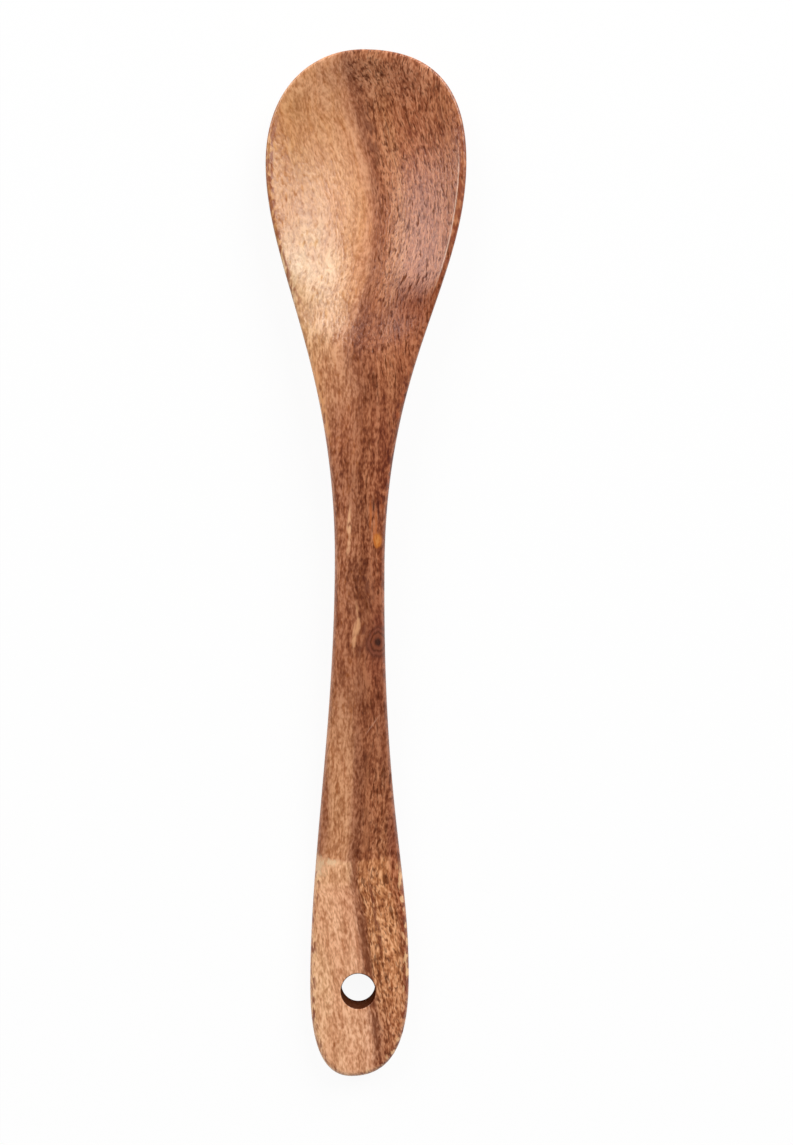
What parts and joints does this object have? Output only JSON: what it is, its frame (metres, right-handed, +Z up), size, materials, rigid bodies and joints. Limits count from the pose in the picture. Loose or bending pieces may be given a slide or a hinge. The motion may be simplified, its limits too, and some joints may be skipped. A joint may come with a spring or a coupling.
{
  "type": "wooden spoon",
  "caption": "Carved hardwood cooking spoon with a shallow egg-shaped bowl, a slim waisted neck and a flat grip with a hanging hole.",
  "frame": {"origin": "on the surface that the spoon lies on, at the centre of its outline's box", "axes": "+Y along the spoon towards the tip of the bowl, +Z up out of the open bowl, +X across to the right when the tip points away"},
  "size_m": [0.0584, 0.3, 0.0148],
  "materials": {
    "hardwood": "oiled, satin, with tan sapwood on one side and red-brown heartwood on the other"
  },
  "bodies": {
    "root": {"spoon": "hardwood"}
  },
  "joints": []
}
